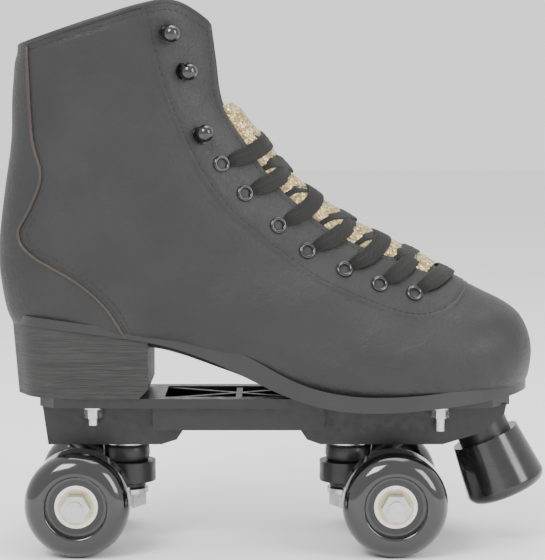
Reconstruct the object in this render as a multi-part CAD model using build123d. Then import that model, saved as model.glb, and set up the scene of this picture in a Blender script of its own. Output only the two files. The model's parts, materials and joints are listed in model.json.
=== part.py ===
from build123d import *
import math
import os

os.makedirs("parts", exist_ok=True)

# Quad roller skate for a right foot, in millimetres.
# +X is the toe, +Y the inner side of the foot, +Z up; the ground is z = 0.

# Running gear
WHEEL_RADIUS = 27.0
WHEEL_WIDTH = 32.0
WHEEL_Y = 38.5
TREAD_HALF = 6.0
RECESS_RADIUS = 15.5
HUB_RADIUS = 14.0
HUB_HALF = 12.0
AXLE_X = {"rear": -99.5, "front": 62.5}
AXLE_Z = WHEEL_RADIUS
AXLE_RADIUS = 4.0
AXLE_END = 58.5
AXLE_NUT_HEIGHT = 6.5
BEARING_OD = 22.0
BEARING_WIDTH = 7.0
BALL_CIRCLE = 7.75
BALL_RADIUS = 1.85
BALL_COUNT = 7
GROOVE_RADIUS = 2.0

# Truck, measured outward from its axle: the kingpin stands inboard, the pivot outboard
KINGPIN_OFFSET = -22.5
KINGPIN_RADIUS = 5.0
RING_RADIUS = 15.0
RING_LOW = 32.0
RING_HIGH = 42.5
RING_BORE = 6.6
CUSHION_CLEAR = 13.0
PIVOT_OFFSET = 7.5
PIVOT_Z = 57.0
PIVOT_RADIUS = 5.0
CUP_RADIUS = 8.0
HANGER_HALF = 21.0

# Plate
PLATE_TOP = 79.0
FLANGE_LOW = 74.0
BEAM_LOW = 62.0
BOSS_LOW = 53.5
BOSS_HALF = 17.0
BEAM_HALF = 24.0
BOLT_PLACES = [(-93.0, 22.0), (-93.0, -22.0), (87.0, 22.0), (87.0, -22.0)]
BOLT_RADIUS = 2.5
BOLT_LOW = {-93.0: 64.5, 87.0: 61.5}

# Toe stop: the middle of its top face, and the tilt of its axis from the vertical
STOP_TOP = (112.7, 0.0, 55.5)
STOP_TILT = 23.5
STOP_LENGTH = 32.0
STOP_TOP_RADIUS = 18.0
STOP_LOW_RADIUS = 22.0

# Boot walls
LEATHER = 2.4
LINING = 1.6
INSOLE = 3.5
TOE_SWING = 6.0

# Boot form: sections that fan from the collar to the toe. Each row has the point at the back or
# under the sole, the point on the front ridge, the half width, where along the section it is
# widest, and the roundness of its back end (2 is an ellipse, larger is squarer).
STATIONS = [
    ((-129.5, 277.0), (-31.5, 298.0), 39.5, 0.50, 2.4),
    ((-135.3, 240.0), (-25.0, 258.0), 37.5, 0.50, 2.3),
    ((-136.5, 212.0), (-20.0, 232.0), 36.0, 0.50, 2.3),
    ((-140.5, 184.0), (-6.0, 212.0), 35.5, 0.48, 2.2),
    ((-143.4, 158.0), (10.0, 192.0), 36.0, 0.46, 2.2),
    ((-142.6, 138.0), (25.0, 180.0), 36.0, 0.43, 2.2),
    ((-137.0, 117.0), (39.0, 170.0), 36.0, 0.42, 2.3),
    ((-122.0, 108.0), (52.0, 162.5), 36.0, 0.42, 2.8),
    ((-95.0, 105.0), (64.0, 156.5), 36.5, 0.42, 3.2),
    ((-60.0, 103.0), (76.0, 150.5), 37.0, 0.42, 3.6),
    ((-25.0, 92.0), (88.0, 144.5), 38.0, 0.42, 4.0),
    ((10.0, 79.0), (100.0, 138.5), 42.0, 0.42, 4.0),
    ((45.0, 74.0), (112.0, 132.5), 46.0, 0.42, 4.0),
    ((75.0, 74.5), (122.0, 127.5), 46.0, 0.42, 4.0),
    ((100.0, 77.0), (130.0, 121.5), 40.5, 0.42, 3.6),
    ((118.0, 79.0), (135.0, 113.0), 31.0, 0.42, 3.2),
    ((128.0, 81.0), (137.3, 103.0), 19.0, 0.45, 2.8),
    ((134.0, 84.0), (136.8, 93.0), 7.0, 0.50, 2.4),
]
RIDGE_ROUNDNESS = 2.1
SECTION_POINTS = 24
SMALLEST_SECTION = 6.5

# Side-view lines of the boot, as (x, z)
COLLAR_LINE = [(-150, 258), (-129, 261), (-92, 272), (-67, 279.5), (-52, 282), (-39, 277), (-20, 262)]
SOLE_TOP = [(-150, 122), (-121, 121), (-85, 117), (-48, 112.5), (-11, 101), (8, 91), (30, 84), (60, 82),
            (90, 84), (117, 87), (150, 89)]
SOLE_LOW = [(-150, 117), (-121, 116), (-85, 112), (-56, 107), (-21, 94.5), (4, 83), (30, 75.5), (60, 74),
            (90, 76), (117, 78.5), (128, 80), (150, 85)]
EYESTAY_SEAM = [(-66, 300), (-65, 276), (-57, 242), (-45, 211), (-30, 185), (-10, 165), (21, 142), (49, 129),
                (72, 122), (90, 125), (101, 134), (112, 160)]
COUNTER_LINE = [(-125, 280), (-125, 252), (-123, 214), (-118.5, 194), (-124, 178), (-131, 164), (-124, 153),
                (-101, 140), (-85, 126), (-74, 108)]
VAMP_LINE = [(80, 160), (52, 60)]
THROAT_HALF = 17.5
THROAT_INNER = [(-45, 300), (-45, 236), (-30, 212), (-8, 180), (25, 152), (60, 136), (78, 131)]

# Sole outline in plan: (x, half width)
SOLE_OUTLINE = [(-137.2, 0), (-134.5, 10), (-127, 22), (-112, 30.5), (-90, 33), (-60, 32.5), (-30, 33.5), (0, 38),
                (30, 43.5), (55, 46), (80, 45), (100, 39.5), (117, 30), (129, 17), (134.6, 0)]

# Lace hardware, as (x, z) on the side of the boot
EYELETS = [(-26, 200), (-14, 185), (3, 168.5), (18, 155.5), (37, 146), (55, 138.5), (73, 133.5)]
HOOKS = [(-52, 266), (-45, 247), (-36, 215)]
EYELET_RADIUS = 3.3
LACE_WIDTH = 9.0


def save(name, *solids):
    """Write one node; a node of several pieces is a compound of separate solids."""
    pieces = []
    for item in solids:
        pieces += item.solids()
    export_step(Compound(children=pieces) if len(pieces) > 1 else pieces[0], f"parts/{name}.step")


def side_prism(*edges, half=90.0):
    """A closed side-view outline, extruded to both sides of the middle plane."""
    return extrude(Plane.XZ * make_face(list(edges)), amount=half, both=True)


def side_polygon(*points, half=90.0):
    return side_prism(Polyline(*points, close=True), half=half)


def region(line, *corners, half=90.0):
    """The side-view area between a smooth line and the straight runs through some corners."""
    curve = Spline(*line)
    return side_prism(curve, Polyline(line[-1], *corners, line[0]), half=half)


def turned(*outline):
    """Solid of revolution about Y from (radius, distance along Y) points."""
    return revolve(make_face(Polyline(*outline, close=True)), Axis.Y)


def rod(start, end, radius):
    """Round bar between two points."""
    run = Vector(*end) - Vector(*start)
    return extrude(Plane(origin=start, z_dir=run) * Circle(radius), amount=run.length)


# ---- Boot form ----


def centre_y(x):
    """The boot's middle line swings to the inner side towards the toe."""
    part = min(max((x - 20.0) / 115.0, 0.0), 1.0)
    return TOE_SWING * part * part * (3.0 - 2.0 * part)


def moved_inside(points, distance, turn):
    """Points of an open side-view path, moved square to the path."""
    moved = []
    for i, point in enumerate(points):
        before = points[max(i - 1, 0)]
        after = points[min(i + 1, len(points) - 1)]
        dx, dz = after[0] - before[0], after[1] - before[1]
        size = math.hypot(dx, dz)
        moved.append((point[0] - turn * dz / size * distance, point[1] + turn * dx / size * distance))
    return moved


def section(low, high, half_width, widest, roundness):
    """Closed smooth outline in the plane through two side-view points, square to that view."""
    points = []
    for i in range(SECTION_POINTS):
        angle = 2 * math.pi * (i / SECTION_POINTS + 0.5)
        along, across = -math.cos(angle), math.sin(angle)
        power = 2.0 / (roundness if along < 0 else RIDGE_ROUNDNESS)
        reach = widest if along < 0 else 1.0 - widest
        place = widest + math.copysign(abs(along) ** power, along) * reach
        x = low[0] + (high[0] - low[0]) * place
        z = low[1] + (high[1] - low[1]) * place
        y = centre_y(x) + math.copysign(abs(across) ** power, across) * half_width
        points.append((x, y, z))
    return Wire([Edge.make_spline(points, periodic=True)])


def boot_form(inset):
    """The whole closed boot form, drawn in by a distance all round."""
    lows = moved_inside([row[0] for row in STATIONS], inset, 1)
    highs = moved_inside([row[1] for row in STATIONS], inset, -1)
    wires = []
    for low, high, (_, _, half_width, widest, roundness) in zip(lows, highs, STATIONS):
        if half_width - inset > SMALLEST_SECTION:
            wires.append(section(low, high, half_width - inset, widest, roundness))
    return Solid.make_loft(wires)


def layer(outside, inside, space):
    """The boot form between two insets, within a space."""
    return (boot_form(outside) & space) - boot_form(inside)


def throat(half):
    """Cutter for the opening between the facings, round at its toe end."""
    slot = region(THROAT_INNER, (100, 160), (20, 300), half=half)
    end = side_polygon((60, 100), (60, 200), (90, 200), (90, 100), half=half)
    round_end = Plane(origin=(60, centre_y(70), 150), z_dir=(0.3, 0, 1)) * Cylinder(half, 140)
    return slot - (end - round_end)


outer = boot_form(0)
leather_inside = boot_form(LEATHER)
cavity = boot_form(LEATHER + LINING)
above_sole = region(SOLE_TOP, (150, 310), (-150, 310))
below_collar = region(COLLAR_LINE, (160, 262), (160, 20), (-150, 20))
upper_space = above_sole & below_collar
throat_cut = throat(THROAT_HALF)
eyestay_area = region(EYESTAY_SEAM, (150, 200), (150, 300))
counter_area = region(COUNTER_LINE, (-74, 60), (-170, 60), (-170, 280))
vamp_area = side_polygon(*VAMP_LINE, (170, 60), (170, 160))
right_half = Pos(0, -100, 150) * Box(400, 200, 400)
left_half = Pos(0, 100, 150) * Box(400, 200, 400)


def on_side(x, z, side):
    """Point and outward normal on the boot's side at a side-view place; side is -1 or 1."""
    axis = Axis((x, side * 120, z), (0, -side, 0))
    hits = []
    for face in outer.faces():
        hits += face.find_intersection_points(axis)
    point, normal = max(hits, key=lambda hit: side * hit[0].Y)
    if side * normal.Y < 0:
        normal = normal * -1
    return point, normal


def hardware_planes(places):
    """A plane on the boot surface at each place, on both sides, facing outward."""
    planes = []
    for x, z in places:
        for side in (-1, 1):
            point, normal = on_side(x, z, side)
            planes.append(Plane(origin=point, z_dir=normal))
    return planes


def upper_pieces():
    """The leather panels, the lining and the holes for the lace hardware."""
    skin = leather_inside & upper_space
    shell = (outer & upper_space) - skin - throat_cut
    lining = skin - (cavity & upper_space) - throat_cut
    holes = [plane * Cylinder(EYELET_RADIUS, 12) for plane in hardware_planes(EYELETS)]
    holes += [plane * Cylinder(1.6, 12) for plane in hardware_planes(HOOKS)]
    shell = shell - holes
    lining = lining - holes
    eyestays = shell & eyestay_area
    rest = shell - eyestay_area
    counter = rest & counter_area
    rest = rest - counter_area
    vamp = rest & vamp_area
    quarters = rest - vamp_area
    save("eyestay_right", eyestays & right_half)
    save("eyestay_left", eyestays & left_half)
    save("heel_counter", counter)
    save("vamp", vamp)
    save("quarter_right", quarters & right_half)
    save("quarter_left", quarters & left_half)
    save("lining", lining)


def tongue():
    """Padded tongue: a wide base under the facings and a raised pad in the gap."""
    wall = LEATHER + LINING
    front = region([(-44, 232), (-20, 200), (20, 150), (84, 120)], (100, 175), (0, 260))
    base = layer(wall + 0.3, wall + 3.3, front & Box(400, 56, 700))
    pad = layer(0.8, wall + 3.3, front & throat(THROAT_HALF - 2.0))
    return base + pad


def lace_strap(start, end):
    """One run of lace across the ridge, following the boot form."""
    middle = (Vector(*start) + Vector(*end)) / 2
    run = Vector(*end) - Vector(*start)
    return Plane(origin=middle, x_dir=run, z_dir=(0.5, 0, 0.87)) * Box(run.length, LACE_WIDTH, 60)


def laces():
    """The lace: crossings between neighbouring eyelet rows and a bar at the toe end."""
    straps = []
    inside = 0.7
    for (x0, z0), (x1, z1) in zip(EYELETS[:-1], EYELETS[1:]):
        for side in (-1, 1):
            low, _ = on_side(x1, z1, side)
            high, _ = on_side(x0, z0, -side)
            straps.append(lace_strap(low, Vector(high.X, high.Y * inside, high.Z)))
    first, _ = on_side(*EYELETS[-1], -1)
    last, _ = on_side(*EYELETS[-1], 1)
    straps.append(lace_strap(first, last))
    return layer(-2.6, -0.5, straps[0] + straps[1:])


def counter_piping():
    """Raised bead along the counter panel's edge."""
    bead = 1.1
    line = Spline(*COUNTER_LINE)
    strip = extrude(Plane.XZ * trace(line, 2 * bead), amount=90, both=True)
    return layer(-bead, 0, strip & upper_space)


def eyelet():
    """Rolled ring with a sleeve through the facing."""
    ring = Pos(0, 0, 0.5) * Torus(EYELET_RADIUS + 0.1, 0.95)
    sleeve = Pos(0, 0, -1.4) * (Cylinder(EYELET_RADIUS - 0.05, 4.0) - Cylinder(EYELET_RADIUS - 0.75, 6))
    return (ring + sleeve) - Cylinder(EYELET_RADIUS - 0.75, 12)


def lace_hook():
    """Ball stud on a round base, with its rivet through the facing."""
    rivet = Pos(0, 0, -2.2) * Cylinder(1.5, 4.4)
    base = Pos(0, 0, 0.5) * Cylinder(5.0, 1.0)
    neck = Pos(0, 0, 2.0) * Cylinder(2.6, 3.0)
    ball = Pos(0, 0, 5.2) * Sphere(4.5)
    return rivet + base + neck + ball


# ---- Sole ----


def sole_outline(extra):
    """Closed plan outline of the sole, made wider all round."""
    upper_points = []
    lower_points = []
    for x, half in SOLE_OUTLINE:
        wide = half + extra if half else 0.0
        along = x + (extra if x > 0 else -extra) * (1.0 - half / 46.0)
        upper_points.append((along, centre_y(x) + wide))
        if half:
            lower_points.append((along, centre_y(x) - wide))
    points = upper_points + lower_points[::-1]
    return make_face(Wire([Edge.make_spline([(x, y, 0) for x, y in points], periodic=True)]))


def plan_solid(face, low, high):
    return extrude(Pos(0, 0, low) * face, amount=high - low)


def plate_outline(extra):
    """Plan outline of the plate's flange."""
    right = [(-121, 18), (-113, 27), (-60, 28), (25, 29), (95, 29), (114, 24), (124, 12)]
    points = [(x + (extra if x > 0 else -extra), y + extra) for x, y in right]
    points += [(x, -y) for x, y in points[::-1]]
    return make_face(Polyline(*points, close=True))


def bolt_holes(radius):
    return [Pos(x, y, 90) * Cylinder(radius, 120) for x, y in BOLT_PLACES]


def seat_height(x):
    """Height of the sole's top under the foot, between the points of its line."""
    for (x0, z0), (x1, z1) in zip(SOLE_TOP, SOLE_TOP[1:]):
        if x0 <= x <= x1:
            return z0 + (z1 - z0) * (x - x0) / (x1 - x0)
    return SOLE_TOP[-1][1]


def head_pockets():
    return [Pos(x, y, seat_height(x) + 1.3) * Cylinder(5.3, 3.4) for x, y in BOLT_PLACES]


def sole_pieces():
    """Insole, outsole and heel block, stacked from the foot down to the plate."""
    slab = plan_solid(sole_outline(0), 60, 140)
    sole_band = region(SOLE_LOW, (150, 110), (-150, 135)) - above_sole
    pocket = plan_solid(plate_outline(0.5), 60, PLATE_TOP)
    outsole = (slab & sole_band) - pocket - bolt_holes(BOLT_RADIUS + 0.1) - head_pockets()
    save("outsole", outsole)
    floor = region([(x, z + INSOLE) for x, z in SOLE_TOP], (150, 60), (-150, 60)) & above_sole
    insole = (boot_form(LEATHER + LINING + 0.2) & floor) - head_pockets()
    save("insole", insole)
    top_face = Pos(0, 0, 122) * sole_outline(0)
    low_face = Pos(0, 0, PLATE_TOP) * sole_outline(-3.5)
    heel = loft([low_face, top_face])
    under = region(SOLE_LOW, (150, 50), (-150, 50))
    breast = side_polygon((-64, 120), (-64, 84), (-69, PLATE_TOP), (-69, 60), (-170, 60), (-170, 120))
    heel = (heel & under & breast) - bolt_holes(BOLT_RADIUS + 0.1)
    save("heel_block", heel)


# ---- Plate ----


def truck_place(end):
    """Placement of a truck's own frame: its axle at x = 0 and its pivot towards +X."""
    return Pos(AXLE_X[end], 0, 0) * Rot(0, 0, 0 if end == "front" else 180)


PIVOT = Vector(PIVOT_OFFSET, 0, PIVOT_Z)
RING_CENTRE = Vector(KINGPIN_OFFSET, 0, (RING_LOW + RING_HIGH) / 2)
STEER = (PIVOT - RING_CENTRE).normalized()


def stop_frame():
    """Frame of the toe stop: its axis is +Z, pointing down and forward."""
    tilt = math.radians(STOP_TILT)
    return Plane(origin=STOP_TOP, x_dir=(0, 1, 0), z_dir=(math.sin(tilt), 0, -math.cos(tilt)))


def hexagon_bar(across_flats, low, high):
    face = RegularPolygon(across_flats / 2, 6, major_radius=False)
    return extrude(Pos(0, 0, low) * face, amount=high - low)


def rib(start, end, thickness, low, high):
    """Straight upright rib between two plan points."""
    run = Vector(*end) - Vector(*start)
    middle = (Vector(*start) + Vector(*end)) / 2
    angle = math.degrees(math.atan2(run.Y, run.X))
    place = Pos(middle.X, middle.Y, (low + high) / 2) * Rot(0, 0, angle)
    return place * Box(run.length, thickness, high - low)


def plate():
    """Moulded chassis: flange, ribbed beam, two truck bosses and the toe stop seat."""
    body = plan_solid(plate_outline(0), FLANGE_LOW, PLATE_TOP)
    beam = side_polygon((-62, FLANGE_LOW), (-62, BEAM_LOW), (27, BEAM_LOW), (27, FLANGE_LOW), half=BEAM_HALF)
    rear = side_polygon((-120, 75), (-117, BOSS_LOW), (-58, BOSS_LOW), (-50, 56), (-46, BEAM_LOW), (-46, 75),
                        half=BOSS_HALF)
    front = side_polygon((14, 75), (14, BEAM_LOW), (18, 56), (25, BOSS_LOW), (89, BOSS_LOW), (110, 60), (121, 70),
                         (122, 75), half=BOSS_HALF)
    body += beam + rear + front
    seat = stop_frame() * (Pos(0, 0, -8) * Cylinder(14, 16))
    body += seat
    x_low, x_high, half, floor = -56.0, 21.0, 20.0, 66.0
    pocket = Pos((x_low + x_high) / 2, 0, 80) * Box(x_high - x_low, 2 * half, 2 * (80 - floor))
    middle = (x_low + x_high) / 2
    ribs = [rib((x_low, -half), (x_high, half), 3.2, floor, PLATE_TOP - 0.6)]
    ribs.append(rib((x_low, half), (x_high, -half), 3.2, floor, PLATE_TOP - 0.6))
    ribs.append(rib((middle, -half), (middle, half), 3.2, floor, PLATE_TOP - 0.6))
    body = body - (pocket - ribs)
    for end in AXLE_X:
        place = truck_place(end)
        body -= place * (Pos(KINGPIN_OFFSET, 0, 60) * Cylinder(KINGPIN_RADIUS + 0.1, 60))
        body -= place * (Pos(KINGPIN_OFFSET, 0, 80) * Cylinder(10.0, 26))
        body -= place * rod(PIVOT - STEER * 20, PIVOT + STEER * 7, CUP_RADIUS)
    body -= stop_frame() * (Pos(0, 0, 25) * Cylinder(21, 50))
    body -= stop_frame() * Cylinder(4.2, 60)
    body -= stop_frame() * (Pos(0, 0, -22) * Cylinder(8.0, 24))
    return body - bolt_holes(BOLT_RADIUS + 0.1)


def pivot_cup(end):
    """Bushing that the hanger's tip turns in, flush with the boss."""
    solid = rod(PIVOT - STEER * 20, PIVOT + STEER * 7, CUP_RADIUS)
    hole = rod(PIVOT - STEER * 22, PIVOT, PIVOT_RADIUS + 0.06) + Pos(*PIVOT) * Sphere(PIVOT_RADIUS + 0.06)
    mouth = Pos(0, 0, BOSS_LOW + 50) * Box(200, 200, 100)
    return truck_place(end) * ((solid & mouth) - hole)


def kingpin(end):
    place = truck_place(end) * Pos(KINGPIN_OFFSET, 0, 0)
    head = hexagon_bar(16, 67, 73)
    shank = Pos(0, 0, 42) * Cylinder(KINGPIN_RADIUS, 50)
    return place * (head + shank)


def kingpin_nut(end):
    place = truck_place(end) * Pos(KINGPIN_OFFSET, 0, 0)
    return place * (hexagon_bar(17, 18.5, 25.5) - Cylinder(KINGPIN_RADIUS, 80))


def cushion_washers(end):
    place = truck_place(end) * Pos(KINGPIN_OFFSET, 0, 0)
    washers = []
    for low, high, radius in ((25.5, 28.0, 11.0), (52.0, BOSS_LOW, 12.5)):
        washers.append(place * (Pos(0, 0, (low + high) / 2) * Cylinder(radius, high - low)
                                - Cylinder(KINGPIN_RADIUS, 140)))
    return washers


def cushion(end, low, high, radius):
    place = truck_place(end) * Pos(KINGPIN_OFFSET, 0, (low + high) / 2)
    return place * (Cylinder(radius, high - low) - Cylinder(KINGPIN_RADIUS + 0.2, 40))


def toe_stop():
    """Rubber brake: a cone with a rounded lower edge and a recess for its bolt."""
    body = Pos(0, 0, STOP_LENGTH / 2) * Rot(180, 0, 0) * Cone(STOP_LOW_RADIUS, STOP_TOP_RADIUS, STOP_LENGTH)
    body = fillet(body.edges().group_by(Axis.Z)[-1], 5)
    body -= Pos(0, 0, STOP_LENGTH) * Cylinder(8.5, 16)
    body -= Cylinder(AXLE_RADIUS + 0.1, 80)
    return stop_frame() * body


def toe_stop_bolt():
    head = hexagon_bar(13, STOP_LENGTH - 8, STOP_LENGTH - 2.7)
    low = -17.0
    shank = Pos(0, 0, (low + STOP_LENGTH - 8) / 2) * Cylinder(AXLE_RADIUS, STOP_LENGTH - 8 - low)
    return stop_frame() * (head + shank)


def toe_stop_nut():
    return stop_frame() * (hexagon_bar(13, -16.5, -10) - Cylinder(AXLE_RADIUS, 80))


def mounting_hardware():
    """Long bolts from under the insole through heel or sole to nuts below the flange."""
    bolts, washers, nuts = [], [], []
    for x, y in BOLT_PLACES:
        seat = seat_height(x) - 0.4
        low = BOLT_LOW[x]
        head = Pos(x, y, seat + 1.2) * Cylinder(5.0, 2.4)
        shank = Pos(x, y, (seat + low) / 2) * Cylinder(BOLT_RADIUS, seat - low)
        bolts.append(head + shank)
        hole = Pos(x, y, 70) * Cylinder(BOLT_RADIUS, 60)
        washers.append(Pos(x, y, FLANGE_LOW - 0.5) * Cylinder(5.0, 1.0) - hole)
        nuts.append(Pos(x, y, 0) * hexagon_bar(8, FLANGE_LOW - 5.7, FLANGE_LOW - 1.0) - hole)
    save("mounting_bolts", *bolts)
    save("mounting_washers", *washers)
    save("mounting_nuts", *nuts)


# ---- Trucks and wheels ----


def hanger(end):
    """Axle tube, kingpin ring, pivot arm and the web that joins them."""
    tube = Pos(0, 0, AXLE_Z) * Rot(90, 0, 0) * Cylinder(8.5, 2 * HANGER_HALF)
    ring = Pos(KINGPIN_OFFSET, 0, RING_CENTRE.Z) * Cylinder(RING_RADIUS, RING_HIGH - RING_LOW)
    arm = rod(RING_CENTRE, PIVOT, PIVOT_RADIUS) + Pos(*PIVOT) * Sphere(PIVOT_RADIUS)
    web = side_polygon((-18, 32), (-18, 42), (-9, 46), (1, 49), (7, 40), (8, 27), (0, 20), (-9, 24), half=8)
    clear = Pos(0, 0, BOSS_LOW + 49.7) * Box(200, 200, 100) - rod(RING_CENTRE, PIVOT + STEER * 20, PIVOT_RADIUS)
    body = (tube + ring + web + arm) - clear
    for radius, low, high in ((RING_BORE, 0, 80), (CUSHION_CLEAR, RING_HIGH, 80), (CUSHION_CLEAR, 0, RING_LOW)):
        body -= Pos(KINGPIN_OFFSET, 0, (low + high) / 2) * Cylinder(radius, high - low)
    body -= Pos(0, 0, AXLE_Z) * Rot(90, 0, 0) * Cylinder(AXLE_RADIUS, 200)
    return truck_place(end) * body


def wheel_place(end, side):
    return Pos(AXLE_X[end], side * WHEEL_Y, AXLE_Z)


def tyre():
    """Urethane wheel: flat tread, full shoulders and a rolled lip round the hub recess."""
    half = WHEEL_WIDTH / 2
    shoulder = half - TREAD_HALF
    lip = 1.5
    edges = [Line((WHEEL_RADIUS, -TREAD_HALF), (WHEEL_RADIUS, TREAD_HALF))]
    edges.append(CenterArc((WHEEL_RADIUS - shoulder, TREAD_HALF), shoulder, 0, 90))
    edges.append(CenterArc((RECESS_RADIUS + lip, half - lip), lip, 90, 90))
    edges.append(Polyline((RECESS_RADIUS, half - lip), (RECESS_RADIUS, HUB_HALF), (HUB_RADIUS, HUB_HALF),
                          (HUB_RADIUS, -HUB_HALF), (RECESS_RADIUS, -HUB_HALF), (RECESS_RADIUS, lip - half)))
    edges.append(CenterArc((RECESS_RADIUS + lip, lip - half), lip, 180, 90))
    edges.append(CenterArc((WHEEL_RADIUS - shoulder, -TREAD_HALF), shoulder, 270, 90))
    return revolve(make_face(edges), Axis.Y)


def hub():
    """Core with a seat for a bearing at each end."""
    seat = HUB_HALF - BEARING_WIDTH
    bearing = BEARING_OD / 2
    return turned((HUB_RADIUS, -HUB_HALF), (HUB_RADIUS, HUB_HALF), (bearing, HUB_HALF), (bearing, seat), (9.5, seat),
                  (9.5, -seat), (bearing, -seat), (bearing, -HUB_HALF))


def bearing_places(end, side):
    """Centres of a wheel's two bearings."""
    offset = HUB_HALF - BEARING_WIDTH / 2
    return [wheel_place(end, side) * Pos(0, shift, 0) for shift in (-offset, offset)]


def ring(inner, outer_radius):
    """Bearing ring with a ball groove."""
    half = BEARING_WIDTH / 2
    blank = turned((inner, -half), (outer_radius, -half), (outer_radius, half), (inner, half))
    groove = Rot(90, 0, 0) * Torus(BALL_CIRCLE, GROOVE_RADIUS)
    return blank - groove


def shields():
    """Thin covers at both faces of a bearing."""
    covers = []
    for face in (-1, 1):
        covers.append(turned((6.6, face * 2.9), (9.2, face * 2.9), (9.2, face * 3.2), (6.6, face * 3.2)))
    return covers


def balls():
    placed = []
    for i in range(BALL_COUNT):
        angle = 2 * math.pi * i / BALL_COUNT
        placed.append(Pos(BALL_CIRCLE * math.sin(angle), 0, BALL_CIRCLE * math.cos(angle)) * Sphere(BALL_RADIUS))
    return placed


def truck_pieces(end):
    save(f"truck_hanger_{end}", hanger(end))
    save(f"axle_{end}", Pos(AXLE_X[end], 0, AXLE_Z) * Rot(90, 0, 0) * Cylinder(AXLE_RADIUS, 2 * AXLE_END))
    nuts, inner_rings, spacers, all_balls = [], [], [], []
    inner_ring = ring(AXLE_RADIUS, 6.3)
    spacer_half = HUB_HALF - BEARING_WIDTH
    spacer = turned((AXLE_RADIUS, -spacer_half), (6.0, -spacer_half), (6.0, spacer_half), (AXLE_RADIUS, spacer_half))
    nut_face = WHEEL_Y + HUB_HALF
    for side in (-1, 1):
        nut = hexagon_bar(13, 0, AXLE_NUT_HEIGHT) - Cylinder(AXLE_RADIUS, 40)
        nuts.append(Pos(AXLE_X[end], side * nut_face, AXLE_Z) * Rot(-90 * side, 0, 0) * nut)
        spacers.append(wheel_place(end, side) * spacer)
        for place in bearing_places(end, side):
            inner_rings.append(place * inner_ring)
            all_balls += [place * ball for ball in balls()]
    save(f"axle_nuts_{end}", *nuts)
    save(f"bearing_inner_rings_{end}", *inner_rings)
    save(f"bearing_spacers_{end}", *spacers)
    save(f"bearing_balls_{end}", *all_balls)


def wheel_pieces(end, side):
    name = f"{end}_{'right' if side < 0 else 'left'}"
    save(f"wheel_tyre_{name}", wheel_place(end, side) * tyre())
    save(f"wheel_hub_{name}", wheel_place(end, side) * hub())
    places = bearing_places(end, side)
    outer_ring = ring(9.2, BEARING_OD / 2)
    save(f"bearing_outer_rings_{name}", *[place * outer_ring for place in places])
    save(f"bearing_shields_{name}", *[place * cover for place in places for cover in shields()])


upper_pieces()
save("tongue", tongue())
save("laces", laces())
save("counter_piping", counter_piping())
save("eyelets", *[plane * eyelet() for plane in hardware_planes(EYELETS)])
save("lace_hooks", *[plane * lace_hook() for plane in hardware_planes(HOOKS)])
sole_pieces()
save("plate", plate())
mounting_hardware()
save("pivot_cups", *[pivot_cup(end) for end in AXLE_X])
save("kingpins", *[kingpin(end) for end in AXLE_X])
save("kingpin_nuts", *[kingpin_nut(end) for end in AXLE_X])
save("cushion_washers", *[washer for end in AXLE_X for washer in cushion_washers(end)])
save("toe_stop", toe_stop())
save("toe_stop_bolt", toe_stop_bolt())
save("toe_stop_nut", toe_stop_nut())
for end in AXLE_X:
    save(f"cushion_upper_{end}", cushion(end, RING_HIGH + 0.1, 52.0, 12.0))
    save(f"cushion_lower_{end}", cushion(end, 28.0, RING_LOW - 0.1, 9.8))
    truck_pieces(end)
    for side in (-1, 1):
        wheel_pieces(end, side)
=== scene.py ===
import json
import math

import bmesh
import bpy
import numpy as np
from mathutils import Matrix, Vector
from mathutils.bvhtree import BVHTree


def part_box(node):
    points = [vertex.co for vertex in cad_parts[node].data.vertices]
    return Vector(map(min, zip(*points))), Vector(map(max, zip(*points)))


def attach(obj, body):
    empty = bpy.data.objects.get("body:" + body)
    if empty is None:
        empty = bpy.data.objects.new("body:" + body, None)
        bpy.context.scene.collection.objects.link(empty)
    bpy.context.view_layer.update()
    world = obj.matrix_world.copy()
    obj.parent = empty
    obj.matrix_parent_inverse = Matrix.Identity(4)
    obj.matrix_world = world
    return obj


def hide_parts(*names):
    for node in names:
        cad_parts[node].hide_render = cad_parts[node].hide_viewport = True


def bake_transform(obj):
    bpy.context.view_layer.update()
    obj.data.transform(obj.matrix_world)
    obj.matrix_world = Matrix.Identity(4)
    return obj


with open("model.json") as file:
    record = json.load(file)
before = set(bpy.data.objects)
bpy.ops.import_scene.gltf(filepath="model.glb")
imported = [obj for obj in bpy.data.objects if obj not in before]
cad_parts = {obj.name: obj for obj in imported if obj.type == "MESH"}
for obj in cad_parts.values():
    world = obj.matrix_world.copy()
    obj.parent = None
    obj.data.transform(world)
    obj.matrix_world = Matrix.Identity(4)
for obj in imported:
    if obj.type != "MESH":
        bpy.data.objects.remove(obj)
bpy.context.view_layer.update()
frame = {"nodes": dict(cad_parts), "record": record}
nodes = frame["nodes"]

MM = 0.001

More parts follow.
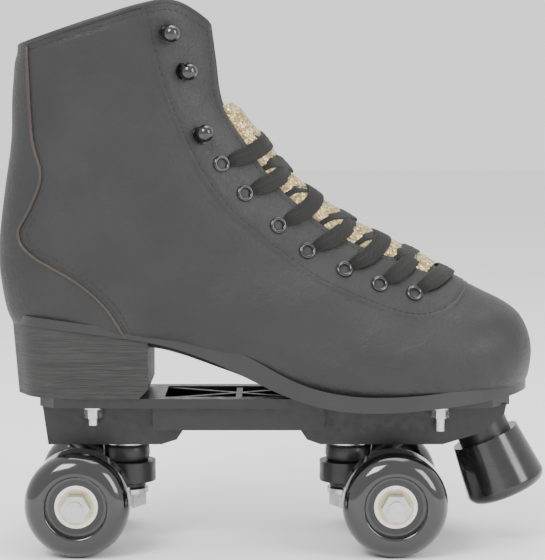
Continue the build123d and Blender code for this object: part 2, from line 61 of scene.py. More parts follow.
# The boot form of the CAD part, in millimetres: point at the back or under the sole, point on the
# ridge, half width, widest place, roundness of the back end.
STATIONS = [
    ((-129.5, 277.0), (-31.5, 298.0), 39.5, 0.50, 2.4),
    ((-135.3, 240.0), (-25.0, 258.0), 37.5, 0.50, 2.3),
    ((-136.5, 212.0), (-20.0, 232.0), 36.0, 0.50, 2.3),
    ((-140.5, 184.0), (-6.0, 212.0), 35.5, 0.48, 2.2),
    ((-143.4, 158.0), (10.0, 192.0), 36.0, 0.46, 2.2),
    ((-142.6, 138.0), (25.0, 180.0), 36.0, 0.43, 2.2),
    ((-137.0, 117.0), (39.0, 170.0), 36.0, 0.42, 2.3),
    ((-122.0, 108.0), (52.0, 162.5), 36.0, 0.42, 2.8),
    ((-95.0, 105.0), (64.0, 156.5), 36.5, 0.42, 3.2),
    ((-60.0, 103.0), (76.0, 150.5), 37.0, 0.42, 3.6),
    ((-25.0, 92.0), (88.0, 144.5), 38.0, 0.42, 4.0),
    ((10.0, 79.0), (100.0, 138.5), 42.0, 0.42, 4.0),
    ((45.0, 74.0), (112.0, 132.5), 46.0, 0.42, 4.0),
    ((75.0, 74.5), (122.0, 127.5), 46.0, 0.42, 4.0),
    ((100.0, 77.0), (130.0, 121.5), 40.5, 0.42, 3.6),
    ((118.0, 79.0), (135.0, 113.0), 31.0, 0.42, 3.2),
    ((128.0, 81.0), (137.3, 103.0), 19.0, 0.45, 2.8),
    ((134.0, 84.0), (136.8, 93.0), 7.0, 0.50, 2.4),
]
RIDGE_ROUNDNESS = 2.1
TOE_SWING = 6.0
COLLAR_LINE = [(-150, 258), (-129, 261), (-92, 272), (-67, 279.5), (-52, 282), (-39, 277), (-20, 262)]
EYESTAY_SEAM = [(-66, 290), (-65, 276), (-57, 242), (-45, 211), (-30, 185), (-10, 165), (21, 142),
                (49, 129), (72, 122), (90, 125), (101, 134), (106, 142)]
COUNTER_LINE = [(-125, 270), (-125, 252), (-123, 214), (-118.5, 194), (-124, 178), (-131, 164), (-124, 153),
                (-101, 140), (-85, 126), (-74, 108)]
EYELETS = [(-26, 200), (-14, 185), (3, 168.5), (18, 155.5), (37, 146), (55, 138.5), (73, 133.5)]
THROAT_HALF = 17.5
THROAT_END = 82.0
THROAT_ROUND = 20.0
LEATHER = 2.4
LINING = 1.4
UPPER_ROWS = 360
UPPER_COLUMNS = 300
FACING_SHARE = 0.64
STITCHED_SHARE = 0.63
SEAM_STITCH = 1.9
COLLAR_STITCH = 4.0
FACING_STITCH = 2.9
COUNTER_STITCHES = (2.6, 4.8)
LACE_WIDTH = 9.4
LACE_WIDTH_AT_HOLE = 4.8
LACE_HALF_THICK = 0.75
LACE_RIBS = 9
TONGUE_TOP = (-20, 231)
TONGUE_END = (84, 146)
TONGUE_HALF = 25.0
TONGUE_THICK = 3.0


# ---- Camera, light and floor ----

LENS_MM = 128.6
CAMERA_PLACE = (0.0, -1.05, 0.230)
CAMERA_PITCH = 5.0


def make_camera():
    data = bpy.data.cameras.new("camera")
    data.lens = LENS_MM
    data.clip_end = 20.0
    camera = bpy.data.objects.new("camera", data)
    camera.location = CAMERA_PLACE
    camera.rotation_euler = (math.radians(90.0 - CAMERA_PITCH), 0.0, 0.0)
    bpy.context.scene.collection.objects.link(camera)
    bpy.context.scene.camera = camera


def area_light(name, place, target, size, power):
    data = bpy.data.lights.new(name, "AREA")
    data.shape = "RECTANGLE"
    data.size, data.size_y = size
    data.energy = power
    light = bpy.data.objects.new(name, data)
    light.location = place
    aim = Vector(target) - Vector(place)
    light.rotation_euler = aim.to_track_quat("-Z", "Y").to_euler()
    bpy.context.scene.collection.objects.link(light)


def make_studio():
    world = bpy.data.worlds.new("studio")
    world.use_nodes = True
    background = world.node_tree.nodes["Background"]
    background.inputs["Color"].default_value = (1.0, 1.0, 1.0, 1.0)
    background.inputs["Strength"].default_value = 1.25
    bpy.context.scene.world = world
    area_light("key", (-0.7, -1.1, 1.3), (0.0, 0.0, 0.12), (0.7, 0.7), 26.0)
    area_light("fill", (1.1, -0.9, 0.7), (0.0, 0.0, 0.10), (0.5, 0.9), 13.0)
    area_light("top", (0.1, 0.2, 1.4), (0.0, 0.0, 0.10), (1.0, 0.8), 10.0)
    mesh = bpy.data.meshes.new("floor")
    far = 6.0
    mesh.from_pydata([(-far, -far, 0), (far, -far, 0), (far, far, 0), (-far, far, 0)], [], [(0, 1, 2, 3)])
    floor = bpy.data.objects.new("floor", mesh)
    bpy.context.scene.collection.objects.link(floor)
    paint = bpy.data.materials.new("floor_white")
    paint.use_nodes = True
    shader = paint.node_tree.nodes["Principled BSDF"]
    shader.inputs["Base Color"].default_value = (0.92, 0.92, 0.92, 1.0)
    shader.inputs["Roughness"].default_value = 0.7
    mesh.materials.append(paint)


# ---- Materials ----


class Paint:
    """A material under construction: short calls for the nodes that all of them share."""

    def __init__(self, name, roughness, metallic=0.0, coat=0.0, specular=0.5):
        self.material = bpy.data.materials.new(name)
        self.material.use_nodes = True
        self.tree = self.material.node_tree
        self.shader = self.tree.nodes["Principled BSDF"]
        self.shader.inputs["Roughness"].default_value = roughness
        self.shader.inputs["Metallic"].default_value = metallic
        self.shader.inputs["Coat Weight"].default_value = coat
        self.shader.inputs["Coat Roughness"].default_value = 0.08
        self.shader.inputs["Specular IOR Level"].default_value = specular
        self.place = self.tree.nodes.new("ShaderNodeTexCoord").outputs["Object"]
        self.last_bump = None

    def link(self, a, b):
        self.tree.links.new(a, b)

    def scaled(self, factors):
        mapping = self.tree.nodes.new("ShaderNodeMapping")
        mapping.inputs["Scale"].default_value = factors
        self.link(self.place, mapping.inputs["Vector"])
        return mapping.outputs["Vector"]

    def noise(self, scale, detail=3.0, rough=0.5, vector=None):
        node = self.tree.nodes.new("ShaderNodeTexNoise")
        node.inputs["Scale"].default_value = scale
        node.inputs["Detail"].default_value = detail
        node.inputs["Roughness"].default_value = rough
        self.link(vector or self.place, node.inputs["Vector"])
        return node.outputs["Fac"]

    def cells(self, scale, feature="F1", vector=None, output="Distance"):
        node = self.tree.nodes.new("ShaderNodeTexVoronoi")
        node.feature = feature
        node.inputs["Scale"].default_value = scale
        self.link(vector or self.place, node.inputs["Vector"])
        return node.outputs[output]

    def ramp(self, fac, *stops):
        node = self.tree.nodes.new("ShaderNodeValToRGB")
        elements = node.color_ramp.elements
        while len(elements) < len(stops):
            elements.new(0.5)
        for element, (place, colour) in zip(elements, stops):
            element.position = place
            element.color = (*colour, 1.0)
        self.link(fac, node.inputs["Fac"])
        return node.outputs["Color"]

    def span(self, fac, low, high, start=0.0, end=1.0):
        node = self.tree.nodes.new("ShaderNodeMapRange")
        node.inputs["From Min"].default_value = start
        node.inputs["From Max"].default_value = end
        node.inputs["To Min"].default_value = low
        node.inputs["To Max"].default_value = high
        self.link(fac, node.inputs["Value"])
        return node.outputs["Result"]

    def colour(self, output):
        self.link(output, self.shader.inputs["Base Color"])

    def roughness(self, output):
        self.link(output, self.shader.inputs["Roughness"])

    def bump(self, height, distance, strength=1.0):
        node = self.tree.nodes.new("ShaderNodeBump")
        node.inputs["Distance"].default_value = distance
        node.inputs["Strength"].default_value = strength
        self.link(height, node.inputs["Height"])
        if self.last_bump:
            self.link(self.last_bump, node.inputs["Normal"])
        self.last_bump = node.outputs["Normal"]
        self.link(self.last_bump, self.shader.inputs["Normal"])


def leather(name="black_leather", tint=(0.0135, 0.0132, 0.0132)):
    paint = Paint(name, 0.5, specular=0.42)
    broad = paint.noise(38.0, 4.0)
    light = tuple(1.5 * v for v in tint)
    paint.colour(paint.ramp(broad, (0.3, tint), (0.75, light)))
    fine = paint.noise(900.0, 3.0, 0.6)
    paint.roughness(paint.span(fine, 0.40, 0.58, 0.3, 0.7))
    paint.bump(paint.cells(1500.0, "SMOOTH_F1"), 0.00012, 0.5)
    paint.bump(paint.noise(650.0, 4.0, 0.62), 0.0004, 0.7)
    paint.bump(paint.noise(90.0, 3.0), 0.0016, 0.5)
    return paint.material


def piping_leather():
    return leather("piping_leather", (0.030, 0.022, 0.019))


def glitter_fabric():
    paint = Paint("gold_glitter", 0.42, metallic=0.35, specular=0.6)
    flake = paint.cells(1150.0, output="Color")
    split = paint.tree.nodes.new("ShaderNodeSeparateColor")
    paint.link(flake, split.inputs["Color"])
    paint.colour(paint.ramp(split.outputs["Red"], (0.0, (0.15, 0.10, 0.035)), (0.45, (0.34, 0.25, 0.10)),
                            (0.82, (0.56, 0.44, 0.20)), (0.97, (0.95, 0.85, 0.55))))
    paint.roughness(paint.span(split.outputs["Green"], 0.22, 0.62))
    paint.bump(split.outputs["Blue"], 0.0004, 0.9)
    paint.bump(paint.noise(120.0, 3.0), 0.0009, 0.5)
    return paint.material


def lace_weave():
    """Flat braid: ribs along the lace with slanted threads across them, from the ribbon's own UV."""
    paint = Paint("lace_weave", 0.82, specular=0.25)
    paint.place = paint.tree.nodes.new("ShaderNodeUVMap").outputs["UV"]
    across = paint.tree.nodes.new("ShaderNodeTexWave")
    across.bands_direction = "X"
    across.inputs["Scale"].default_value = 1.4
    paint.link(paint.place, across.inputs["Vector"])
    slant = paint.tree.nodes.new("ShaderNodeTexWave")
    slant.bands_direction = "DIAGONAL"
    slant.inputs["Scale"].default_value = 0.62
    slant.inputs["Distortion"].default_value = 0.6
    paint.link(paint.place, slant.inputs["Vector"])
    dark, light = (0.003, 0.003, 0.0025), (0.016, 0.016, 0.013)
    paint.colour(paint.ramp(slant.outputs["Fac"], (0.1, dark), (0.9, light)))
    paint.bump(slant.outputs["Fac"], 0.0005, 0.8)
    paint.bump(across.outputs["Fac"], 0.0004, 0.6)
    paint.shader.inputs["Sheen Weight"].default_value = 0.15
    paint.shader.inputs["Sheen Roughness"].default_value = 0.5
    return paint.material


def thread():
    paint = Paint("stitch_thread", 0.5, specular=0.4)
    paint.colour(paint.ramp(paint.noise(400.0), (0.3, (0.010, 0.010, 0.010)), (0.8, (0.035, 0.034, 0.032))))
    paint.bump(paint.noise(2500.0, 2.0), 0.0001)
    return paint.material


def moulded_plastic(name, tint, roughness, coat=0.0):
    paint = Paint(name, roughness, coat=coat)
    paint.colour(paint.ramp(paint.noise(60.0), (0.3, tint), (0.8, tuple(1.35 * v for v in tint))))
    paint.roughness(paint.span(paint.noise(240.0, 4.0), roughness - 0.08, roughness + 0.1, 0.3, 0.7))
    paint.bump(paint.noise(1400.0, 2.0), 0.00006, 0.5)
    return paint.material


def urethane():
    paint = Paint("black_urethane", 0.12, coat=0.6, specular=0.6)
    dark, light = (0.0035, 0.0035, 0.0035), (0.006, 0.006, 0.006)
    paint.colour(paint.ramp(paint.noise(25.0), (0.3, dark), (0.8, light)))
    paint.roughness(paint.span(paint.noise(120.0, 5.0), 0.07, 0.2, 0.35, 0.75))
    paint.bump(paint.noise(55.0, 2.0), 0.0002, 0.12)
    return paint.material


def stop_rubber():
    paint = Paint("toe_stop_rubber", 0.2, coat=0.35)
    paint.colour(paint.ramp(paint.noise(40.0), (0.3, (0.006, 0.006, 0.006)), (0.8, (0.011, 0.011, 0.011))))
    paint.roughness(paint.span(paint.noise(160.0, 4.0), 0.14, 0.3, 0.3, 0.7))
    paint.bump(paint.noise(300.0, 3.0), 0.00015, 0.3)
    return paint.material


def heel_rubber():
    """Dark stacked heel: irregular fine lines that run round it, level with the ground."""
    paint = Paint("stacked_heel", 0.55, specular=0.4)
    flat = paint.scaled((0.05, 0.05, 1.0))
    lines = paint.noise(1100.0, 4.0, 0.65, flat)
    paint.colour(paint.ramp(lines, (0.35, (0.014, 0.014, 0.014)), (0.7, (0.034, 0.033, 0.032))))
    paint.bump(lines, 0.0009, 0.75)
    paint.bump(paint.noise(900.0, 3.0), 0.0001, 0.4)
    return paint.material


def metal(name, tint, roughness, scratch=0.0002):
    paint = Paint(name, roughness, metallic=1.0)
    paint.colour(paint.ramp(paint.noise(180.0, 4.0), (0.3, tuple(0.8 * v for v in tint)), (0.7, tint)))
    paint.roughness(paint.span(paint.noise(500.0, 4.0), roughness - 0.08, roughness + 0.12, 0.3, 0.7))
    paint.bump(paint.noise(1500.0, 3.0), scratch, 0.3)
    return paint.material


def insole_cloth():
    paint = Paint("insole_cloth", 0.85, specular=0.2)
    dark, light = (0.05, 0.045, 0.035), (0.11, 0.10, 0.08)
    paint.colour(paint.ramp(paint.noise(700.0, 3.0), (0.3, dark), (0.7, light)))
    paint.bump(paint.noise(1600.0, 3.0), 0.0003, 0.6)
    return paint.material


# ---- Boot form ----


def smooth(value):
    """Eases from 0 to 1 and stays there."""
    value = np.clip(value, 0.0, 1.0)
    return value * value * (3.0 - 2.0 * value)


def line_through(points, count):
    """Even points along a smooth line through a few side-view points."""
    known = np.array(points, float)
    steps = np.linspace(0, len(known) - 1, count * 4)
    dense = np.array([catmull(known, s) for s in steps])
    lengths = np.concatenate([[0], np.cumsum(np.hypot(*np.diff(dense, axis=0).T))])
    even = np.linspace(0, lengths[-1], count)
    return np.stack([np.interp(even, lengths, dense[:, 0]), np.interp(even, lengths, dense[:, 1])], 1)


def catmull(rows, place):
    """Smooth value between the rows of a table, at a fractional row number."""
    i = int(min(max(math.floor(place), 0), len(rows) - 2))
    t = place - i
    p0, p1, p2, p3 = (rows[min(max(k, 0), len(rows) - 1)] for k in (i - 1, i, i + 1, i + 2))
    return 0.5 * (2 * p1 + (p2 - p0) * t + (2 * p0 - 5 * p1 + 4 * p2 - p3) * t ** 2
                  + (3 * p1 - p0 - 3 * p2 + p3) * t ** 3)


STATION_ROWS = np.array([[*low, *high, *shape] for low, high, *shape in STATIONS])
STEPS = np.linspace(0, len(STATIONS) - 1, 1201)
DENSE_ROWS = np.array([catmull(STATION_ROWS, s) for s in STEPS])


def rows_at(steps):
    """Rows of the smoothed station table at fractional steps."""
    return np.stack([np.interp(steps, STEPS, DENSE_ROWS[:, k]) for k in range(7)], -1)


def form_point(steps, angles, inset=0.0):
    """Points of the boot form in mm. steps count stations from the collar; angle 0 is the back or
    sole end of a section, pi its ridge, and the left side has angles under pi."""
    row = rows_at(steps)
    ahead = rows_at(np.minimum(steps + 0.02, len(STATIONS) - 1))
    behind = rows_at(np.maximum(steps - 0.02, 0))
    run = ahead - behind
    shift = np.asarray(inset, float)[..., None]
    low_size = np.hypot(run[..., 0], run[..., 1]) + 1e-9
    high_size = np.hypot(run[..., 2], run[..., 3]) + 1e-9
    low = row[..., 0:2] + np.stack([-run[..., 1], run[..., 0]], -1) / low_size[..., None] * shift
    high = row[..., 2:4] + np.stack([run[..., 3], -run[..., 2]], -1) / high_size[..., None] * shift
    half = np.maximum(row[..., 4] - inset, 1.0)
    widest, roundness = row[..., 5], row[..., 6]
    along, across = -np.cos(angles), np.sin(angles)
    power = 2.0 / np.where(along < 0, roundness, RIDGE_ROUNDNESS)
    reach = np.where(along < 0, widest, 1.0 - widest)
    place = widest + np.sign(along) * np.abs(along) ** power * reach
    xz = low + (high - low) * place[..., None]
    swing = TOE_SWING * smooth((xz[..., 0] - 20.0) / 115.0)
    y = swing + np.sign(across) * np.abs(across) ** power * half
    return np.stack([xz[..., 0], y, xz[..., 1]], -1)


def throat_half_at(steps):
    """Half width of the gap between the facings; it closes in a round end on the vamp."""
    ridge_x = rows_at(steps)[..., 2]
    closing = np.clip((ridge_x - (THROAT_END - THROAT_ROUND)) / THROAT_ROUND, 0.0, 1.0)
    return THROAT_HALF * np.sqrt(np.maximum(1.0 - closing ** 2, 0.0))


def edge_angle(steps, half_gap):
    """Angle from the ridge at which a section is as wide as the gap."""
    half = rows_at(steps)[..., 4]
    return np.arcsin(np.clip((half_gap / half) ** (RIDGE_ROUNDNESS / 2.0), 0.0, 1.0))


COLLAR = line_through(COLLAR_LINE, 200)


def collar_height(x):
    return np.interp(x, COLLAR[:, 0], COLLAR[:, 1])


def collar_step(spread):
    """For each column of the grid, the step at which the form reaches the collar line."""
    low = np.zeros_like(spread)
    high = np.full_like(spread, 2.5)
    for _ in range(30):
        middle = (low + high) / 2
        point = form_point(middle, column_angle(middle, spread))
        above = point[..., 2] > collar_height(point[..., 0])
        low = np.where(above, middle, low)
        high = np.where(above, high, middle)
    return (low + high) / 2


def column_angle(steps, spread):
    """Columns run from one facing edge (0) round the back to the other (1)."""
    gap = edge_angle(steps, throat_half_at(steps))
    return (math.pi - gap) * (1.0 - 2.0 * spread)


def upper_grid(rows, columns, inset):
    """Grid of points over the upper, from the collar to the toe."""
    spread = np.linspace(0.0, 1.0, columns)
    top = collar_step(spread)
    down = np.linspace(0.0, 1.0, rows)
    steps = top[None, :] + (len(STATIONS) - 1 - top[None, :]) * down[:, None]
    angles = column_angle(steps, np.broadcast_to(spread[None, :], steps.shape))
    return form_point(steps, angles, inset)


def grid_mesh(name, points, material, closed_columns=False):
    """Mesh object from a (rows, columns, 3) grid in millimetres."""
    rows, columns = points.shape[:2]
    faces = []
    for r in range(rows - 1):
        for c in range(columns - (0 if closed_columns else 1)):
            d = (c + 1) % columns
            faces.append((r * columns + c, (r + 1) * columns + c, (r + 1) * columns + d, r * columns + d))
    return mesh_object(name, (points.reshape(-1, 3) * MM).tolist(), faces, material)


def mesh_object(name, points, faces, material):
    mesh = bpy.data.meshes.new(name)
    mesh.from_pydata(points, [], faces)
    mesh.validate()
    mesh.materials.append(material)
    mesh.shade_smooth()
    piece = bpy.data.objects.new(name, mesh)
    bpy.context.scene.collection.objects.link(piece)
    return piece


def apply_modifiers(piece):
    bpy.context.view_layer.update()
    depsgraph = bpy.context.evaluated_depsgraph_get()
    mesh = bpy.data.meshes.new_from_object(piece.evaluated_get(depsgraph))
    piece.modifiers.clear()
    piece.data = mesh
    return piece


def grid_normals(points):
    """Outward unit normals of a grid."""
    down = np.gradient(points, axis=0)
    across = np.gradient(points, axis=1)
    normal = np.cross(down, across)
    return normal / (np.linalg.norm(normal, axis=-1, keepdims=True) + 1e-9)


def line_distance(points, line):
    """Distance of side-view points from a line, and which side of it they are on."""
    flat = points.reshape(-1, 2)
    best = np.full(len(flat), 1e9)
    side = np.zeros(len(flat))
    for a, b in zip(line[:-1], line[1:]):
        run = b - a
        t = np.clip(((flat - a) @ run) / (run @ run), 0, 1)
        away = flat - (a + t[:, None] * run)
        distance = np.hypot(away[:, 0], away[:, 1])
        near = distance < best
        turn = run[0] * away[:, 1] - run[1] * away[:, 0]
        best = np.where(near, distance, best)
        side = np.where(near, np.sign(turn), side)
    return (best * side).reshape(points.shape[:-1])


SEAM = line_through(EYESTAY_SEAM, 160)
COUNTER = line_through(COUNTER_LINE, 120)


def relief(points):
    """Height of the panels over the plain form, in mm: overlays, stitch grooves and soft puckers."""
    flat = points[..., [0, 2]]
    x, z = flat[..., 0], flat[..., 1]
    seam = line_distance(flat, SEAM)
    counter = line_distance(flat, COUNTER)
    height = -0.55 + 0.55 * smooth((seam + 0.5) / 0.9)
    height += 0.45 * smooth((-counter + 0.4) / 0.9) * (x < -70)
    height -= 0.32 * np.exp(-((seam - SEAM_STITCH) / 0.8) ** 2)
    below_collar = collar_height(x) - z
    height -= 0.35 * np.exp(-((below_collar - COLLAR_STITCH) / 1.0) ** 2)
    height += 0.5 * np.exp(-((below_collar - 9.0) / 5.0) ** 2)
    pucker = np.sin(seam * 0.9 + 1.3) * np.exp(-np.abs(seam) / 9.0)
    height += 0.10 * pucker * np.sin(x * 0.55 + z * 0.4)
    return height


def leather_upper(material):
    """The whole leather upper with its panel relief, and its outer grid of points."""
    points = upper_grid(UPPER_ROWS, UPPER_COLUMNS, 0.0)
    points = points + grid_normals(points) * relief(points)[..., None]
    piece = grid_mesh("leather_upper", points, material)
    thickness = piece.modifiers.new("leather", "SOLIDIFY")
    thickness.thickness = LEATHER * MM
    thickness.offset = -1.0
    thickness.use_even_offset = False
    apply_modifiers(piece)
    piece.data.shade_smooth()
    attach(piece, "root")
    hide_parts("quarter_right", "quarter_left", "vamp", "heel_counter",
                "eyestay_right", "eyestay_left")
    return piece, points


def gold_lining(material):
    """Glitter fabric against the inside of the leather."""
    points = upper_grid(200, 180, LEATHER)
    piece = grid_mesh("gold_lining", points, material)
    thickness = piece.modifiers.new("lining", "SOLIDIFY")
    thickness.thickness = LINING * MM
    thickness.offset = -1.0
    apply_modifiers(piece)
    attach(piece, "root")
    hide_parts("lining")


# ---- Trim of the upper ----


def tube_mesh(name, path, radius, material, sides=10):
    """Round tube along a dense path in mm, closed at its ends by the taper of its last rings."""
    path = np.array(path, float)
    tangent = np.gradient(path, axis=0)
    tangent /= np.linalg.norm(tangent, axis=1, keepdims=True) + 1e-9
    normal = np.cross(tangent, (0.0, 1.0, 0.3))
    normal /= np.linalg.norm(normal, axis=1, keepdims=True) + 1e-9
    other = np.cross(tangent, normal)
    turn = np.linspace(0, 2 * math.pi, sides, endpoint=False)
    size = np.full(len(path), radius)
    size[0] = size[-1] = radius * 0.3
    ring = np.cos(turn)[None, :, None] * normal[:, None] + np.sin(turn)[None, :, None] * other[:, None]
    points = path[:, None, :] + ring * size[:, None, None]
    piece = grid_mesh(name, points, material, closed_columns=True)
    close_ends(piece)
    return piece


def close_ends(piece):
    """Fills the open ends of a tube."""
    form = bmesh.new()
    form.from_mesh(piece.data)
    open_edges = [edge for edge in form.edges if edge.is_boundary]
    bmesh.ops.holes_fill(form, edges=open_edges, sides=0)
    bmesh.ops.recalc_face_normals(form, faces=form.faces)
    form.to_mesh(piece.data)
    form.free()
    piece.data.shade_smooth()


def joined(name, pieces):
    """One object from several."""
    form = bmesh.new()
    for piece in pieces:
        form.from_mesh(piece.data)
    mesh = pieces[0].data.copy()
    form.to_mesh(mesh)
    form.free()
    for piece in pieces:
        bpy.data.objects.remove(piece)
    result = bpy.data.objects.new(name, mesh)
    bpy.context.scene.collection.objects.link(result)
    mesh.shade_smooth()
    return result


def rolled_edge(material):
    """Turned leather edge round the collar and down both facings."""
    points = upper_grid(UPPER_ROWS, UPPER_COLUMNS, 1.3)
    last = int(UPPER_ROWS * FACING_SHARE)
    loop = np.concatenate([points[last:0:-1, 0], points[0, :], points[1:last, -1]])
    piece = tube_mesh("rolled_edge", loop, 1.55, material, 12)
    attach(piece, "root")


def surface_line(tree, line, side, lift=0.0):
    """A side-view line laid on the leather, on one side: points and outward normals."""
    points, normals = [], []
    for x, z in line:
        start = Vector((x * MM, side * 0.12, z * MM))
        hit, normal, _, _ = tree.ray_cast(start, Vector((0, -side, 0)))
        if hit is None or side * hit.y < 0.002:
            continue
        if side * normal.y < 0:
            normal = -normal
        points.append(np.array(hit) / MM + np.array(normal) * lift)
        normals.append(np.array(normal))
    return np.array(points), np.array(normals)


def offset_line(line, distance):
    """A side-view line moved square to itself."""
    run = np.gradient(line, axis=0)
    run /= np.linalg.norm(run, axis=1, keepdims=True) + 1e-9
    return line + np.stack([-run[:, 1], run[:, 0]], 1) * distance


def run_lengths(points):
    """Length along a path up to each of its points."""
    return np.concatenate([[0], np.cumsum(np.linalg.norm(np.diff(points, axis=0), axis=1))])


def stitch_row(points, normals, pitch=3.1, length=2.3, radius=0.30):
    """Vertices and faces of short rounded stitches along a line on the surface."""
    lengths = run_lengths(points)
    vertices, faces = [], []
    profile = [(-0.5, 0.35), (-0.32, 0.9), (0.0, 1.0), (0.32, 0.9), (0.5, 0.35)]
    sides = 6
    for start in np.arange(pitch / 2, lengths[-1] - pitch / 2, pitch):
        centre = np.array([np.interp(start, lengths, points[:, k]) for k in range(3)])
        ahead = np.array([np.interp(start + 0.5, lengths, points[:, k]) for k in range(3)])
        up = np.array([np.interp(start, lengths, normals[:, k]) for k in range(3)])
        along = ahead - centre
        along /= np.linalg.norm(along) + 1e-9
        across = np.cross(along, up)
        base = len(vertices)
        for place, size in profile:
            for k in range(sides):
                turn = 2 * math.pi * k / sides
                offset = across * math.cos(turn) * size * radius + up * (math.sin(turn) * size * radius)
                vertices.append((centre + along * place * length + offset) * MM)
        for r in range(len(profile) - 1):
            for k in range(sides):
                d = (k + 1) % sides
                a, b = base + r * sides, base + (r + 1) * sides
                faces.append((a + k, a + d, b + d, b + k))
        faces.append(tuple(base + k for k in range(sides)))
        faces.append(tuple(base + (len(profile) - 1) * sides + k for k in reversed(range(sides))))
    return vertices, faces


def facing_line(distance):
    """Line on the leather at a distance in from each facing edge, from the collar to the throat end."""
    lines = []
    last = int(UPPER_ROWS * STITCHED_SHARE)
    edge = 60
    normals = grid_normals(upper_points)
    for flip in (1, -1):
        rows = upper_points[3:last, ::flip]
        ups = normals[3:last, ::flip]
        points, directions = [], []
        for row, up in zip(rows, ups):
            arc = run_lengths(row[:edge])
            points.append([np.interp(distance, arc, row[:edge, k]) for k in range(3)])
            directions.append([np.interp(distance, arc, up[:edge, k]) for k in range(3)])
        lines.append((np.array(points), np.array(directions)))
    return lines


def stitching(tree, material):
    """Thread along the collar, the facings, the eyestay seam and the counter."""
    rows = facing_line(FACING_STITCH)
    collar = offset_line(COLLAR, -COLLAR_STITCH)
    for side in (-1, 1):
        rows.append(surface_line(tree, collar, side))
        rows.append(surface_line(tree, offset_line(SEAM, SEAM_STITCH), side))
        for distance in COUNTER_STITCHES:
            rows.append(surface_line(tree, offset_line(COUNTER[60:], distance), side))
    vertices, faces = [], []
    for points, normals in rows:
        if len(points) < 4:
            continue
        new_vertices, new_faces = stitch_row(points, normals)
        base = len(vertices)
        vertices += new_vertices
        faces += [tuple(base + i for i in face) for face in new_faces]
    piece = mesh_object("stitching", [tuple(v) for v in vertices], faces, material)
    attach(piece, "root")


def counter_beads(tree, material):
    """Raised piping along the counter panel's edge, on both sides."""
    beads = []
    for side in (-1, 1):
        points, _ = surface_line(tree, COUNTER, side, 0.1)
        beads.append(tube_mesh(f"bead_{side}", points, 0.95, material))
    piece = joined("counter_bead", beads)
    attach(piece, "root")
    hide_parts("counter_piping")


# ---- Tongue and laces ----

LOOKUP_STEPS = np.arange(0.0, 15.0, 0.03)
LOOKUP_ANGLES = np.arange(0.2, math.pi, 0.012)
LOOKUP = form_point(*np.meshgrid(LOOKUP_STEPS, LOOKUP_ANGLES, indexing="ij"))


def form_place(x, z):
    """Step and angle off the ridge of the form's point at a side-view place."""
    distance = (LOOKUP[..., 0] - x) ** 2 + (LOOKUP[..., 2] - z) ** 2
    i, k = np.unravel_index(np.argmin(distance), distance.shape)
    return LOOKUP_STEPS[i], math.pi - LOOKUP_ANGLES[k]


def ridge_point(steps, off_ridge, height):
    """Point over the boot form; off_ridge is positive on the left side."""
    angles = math.pi - np.asarray(off_ridge, float)
    return form_point(np.asarray(steps, float), angles, -np.asarray(height, float))


def gold_tongue(material):
    """Soft tongue: full in the gap, thinner where it runs under the facings."""
    top, _ = form_place(*TONGUE_TOP)
    end, _ = form_place(*TONGUE_END)
    steps = np.linspace(top, end, 150)
    spread = np.linspace(-1.0, 1.0, 80)
    grid_steps = np.repeat(steps[:, None], len(spread), 1)
    off_ridge = spread[None, :] * edge_angle(grid_steps, np.full_like(grid_steps, TONGUE_HALF))
    flat = form_point(grid_steps, math.pi - off_ridge)
    off_middle = np.abs(flat[..., 1] - np.mean(flat[..., 1], 1, keepdims=True))
    inset = 0.9 + 3.6 * smooth((off_middle - 11.5) / 5.0)
    inset += 0.35 * np.cos(grid_steps * 5.1) * smooth(1.2 - np.abs(spread)[None, :])
    inset += 3.0 * smooth((top + 0.25 - grid_steps) / 0.25)
    points = form_point(grid_steps, math.pi - off_ridge, inset)
    piece = grid_mesh("gold_tongue", points, material)
    thickness = piece.modifiers.new("padding", "SOLIDIFY")
    thickness.thickness = TONGUE_THICK * MM
    thickness.offset = 1.0
    apply_modifiers(piece)
    piece.data.shade_smooth()
    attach(piece, "root")
    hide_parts("tongue")


def ribbon(name, centre, up, width, material):
    """Flat braided lace along a path, with ribs along it; the UV is in millimetres."""
    tangent = np.gradient(centre, axis=0)
    tangent /= np.linalg.norm(tangent, axis=1, keepdims=True) + 1e-9
    across = np.cross(tangent, up)
    across /= np.linalg.norm(across, axis=1, keepdims=True) + 1e-9
    up = np.cross(across, tangent)
    lengths = run_lengths(centre)
    count = 48
    turn = np.linspace(0, 2 * math.pi, count, endpoint=False)
    flat = np.sign(np.cos(turn)) * np.abs(np.cos(turn)) ** 0.8
    rise = np.sign(np.sin(turn)) * np.abs(np.sin(turn)) ** 0.45
    ripple = 0.14 * np.cos(flat * LACE_RIBS * math.pi) * np.abs(rise)
    zigzag = 0.05 * np.sin(lengths * 4.2)[:, None] * np.cos(flat * LACE_RIBS * math.pi / 2)[None, :]
    high = (rise * LACE_HALF_THICK + np.sign(rise) * ripple)[None, :] + zigzag
    squeeze = (np.asarray(width) / 2)[:, None] * flat[None, :]
    points = centre[:, None] + across[:, None] * squeeze[..., None] + up[:, None] * high[..., None]
    piece = grid_mesh(name, points, material, closed_columns=True)
    layer = piece.data.uv_layers.new(name="UVMap")
    for loop in piece.data.loops:
        row, column = divmod(loop.vertex_index, count)
        layer.data[loop.index].uv = (flat[column] * 5.0, lengths[row])
    close_ends(piece)
    return piece


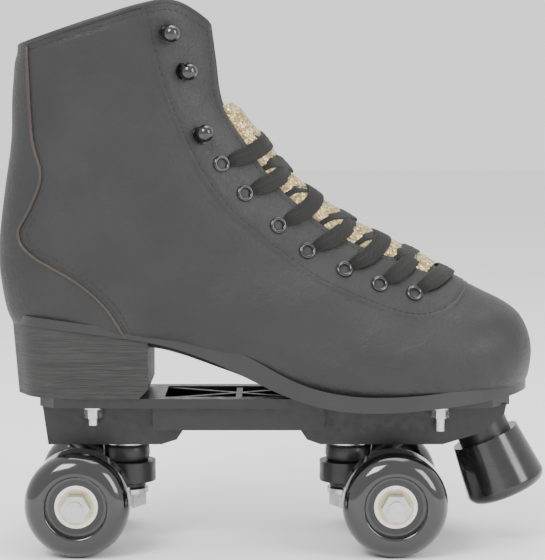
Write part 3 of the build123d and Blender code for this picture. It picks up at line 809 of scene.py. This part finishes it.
def lace_run(name, start, end, lift, material, hole_end=False):
    """A lace from an eyelet over the facing and the tongue to the far side."""
    count = 90
    t = np.linspace(0.0, 1.0, count)
    steps = start[0] + (end[0] - start[0]) * smooth(t * 0.9 + 0.05)
    off_ridge = start[1] + (end[1] - start[1]) * t
    height = 1.5 + lift * np.exp(-((t - 0.5) / 0.16) ** 2)
    width = np.full(count, LACE_WIDTH)
    narrowing = LACE_WIDTH - LACE_WIDTH_AT_HOLE
    height -= 3.4 * (1 - smooth(t / 0.09))
    width -= narrowing * (1 - smooth(t / 0.16))
    if hole_end:
        height -= 3.4 * (1 - smooth((1 - t) / 0.09))
        width -= narrowing * (1 - smooth((1 - t) / 0.16))
    else:
        height -= 5.5 * smooth((t - 0.86) / 0.14)
    centre = ridge_point(steps, off_ridge, height)
    above = ridge_point(steps, off_ridge, height + 1.0)
    up = above - centre
    up /= np.linalg.norm(up, axis=1, keepdims=True)
    return ribbon(name, centre, up, width, material)


def lacing(material):
    """Criss-cross lace over the tongue and a bar at the toe end of the throat."""
    places = [form_place(x, z) for x, z in EYELETS]
    runs = []
    for i in range(len(places) - 1):
        step, angle = places[i]
        far_step = places[i - 1][0] if i else step - 0.55
        gap = float(edge_angle(np.array(far_step), np.array(THROAT_HALF)))
        for side in (-1, 1):
            lift = 1.7 if (side < 0) == (i % 2 == 0) else 0.1
            start = (step, side * angle)
            end = (far_step + 0.12, -side * gap * 1.02)
            runs.append(lace_run(f"lace_{i}_{side}", start, end, lift, material))
    step, angle = places[-1]
    runs.append(lace_run("lace_bar", (step, -angle), (step, angle), 0.2, material, hole_end=True))
    piece = joined("flat_lace", runs)
    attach(piece, "root")
    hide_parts("laces")


# ---- Running gear ----


def rubber_cushions(material):
    """Barrel-shaped steering cushions between the plate and the hanger."""
    for end in ("rear", "front"):
        for level, root_end_high in (("upper", True), ("lower", False)):
            node = f"cushion_{level}_{end}"
            low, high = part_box(node)
            centre = (low + high) / 2
            radius = (high.x - low.x) / 2
            rows, sides = 14, 48
            points = []
            for r in range(rows + 1):
                part = r / rows
                rim = min(part, 1 - part) * rows
                size = radius * (0.93 + 0.07 * math.sin(math.pi * part)) - (0.0006 if rim < 1 else 0.0)
                z = low.z + (high.z - low.z) * part
                for k in range(sides):
                    turn = 2 * math.pi * k / sides
                    points.append((centre.x + size * math.cos(turn), centre.y + size * math.sin(turn), z))
            faces = []
            for r in range(rows):
                for k in range(sides):
                    d = (k + 1) % sides
                    faces.append((r * sides + k, r * sides + d, (r + 1) * sides + d, (r + 1) * sides + k))
            piece = mesh_object(f"rubber_{level}_{end}", points, faces, material)
            close_ends(piece)
            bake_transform(piece)
            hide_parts(node)


def paint_cad(paints):
    """Gives each CAD node the material of its slot."""
    for part in frame["record"]["subparts"]:
        node = nodes[part["node"]]
        material = paints.get(part["material_slot"])
        if material:
            node.data.materials.clear()
            node.data.materials.append(material)


make_camera()
make_studio()
BLACK_LEATHER = leather()
GLITTER = glitter_fabric()
STEEL = metal("zinc_steel", (0.62, 0.62, 0.62), 0.3)
CUSHION_RUBBER = moulded_plastic("cushion_rubber", (0.012, 0.012, 0.012), 0.4)
PAINTS = {
    "sole_rubber": moulded_plastic("sole_rubber", (0.010, 0.010, 0.010), 0.38, 0.1),
    "heel_rubber": heel_rubber(),
    "black_enamel": moulded_plastic("black_enamel", (0.004, 0.004, 0.004), 0.12, 0.7),
    "plate_nylon": moulded_plastic("plate_nylon", (0.007, 0.007, 0.0075), 0.36),
    "cushion_rubber": CUSHION_RUBBER,
    "toe_stop_rubber": stop_rubber(),
    "wheel_urethane": urethane(),
    "hub_nylon": moulded_plastic("hub_nylon", (0.004, 0.004, 0.004), 0.2, 0.3),
    "gold_shield": metal("gold_shield", (0.62, 0.55, 0.36), 0.34),
    "bearing_steel": metal("bearing_steel", (0.74, 0.73, 0.68), 0.2),
    "zinc_steel": STEEL,
    "insole_fabric": insole_cloth(),
}
paint_cad(PAINTS)
upper, upper_points = leather_upper(BLACK_LEATHER)
leather_tree = BVHTree.FromPolygons([v.co.copy() for v in upper.data.vertices],
                                    [tuple(f.vertices) for f in upper.data.polygons])
gold_lining(GLITTER)
rolled_edge(BLACK_LEATHER)
stitching(leather_tree, thread())
counter_beads(leather_tree, piping_leather())
gold_tongue(GLITTER)
lacing(lace_weave())
rubber_cushions(CUSHION_RUBBER)
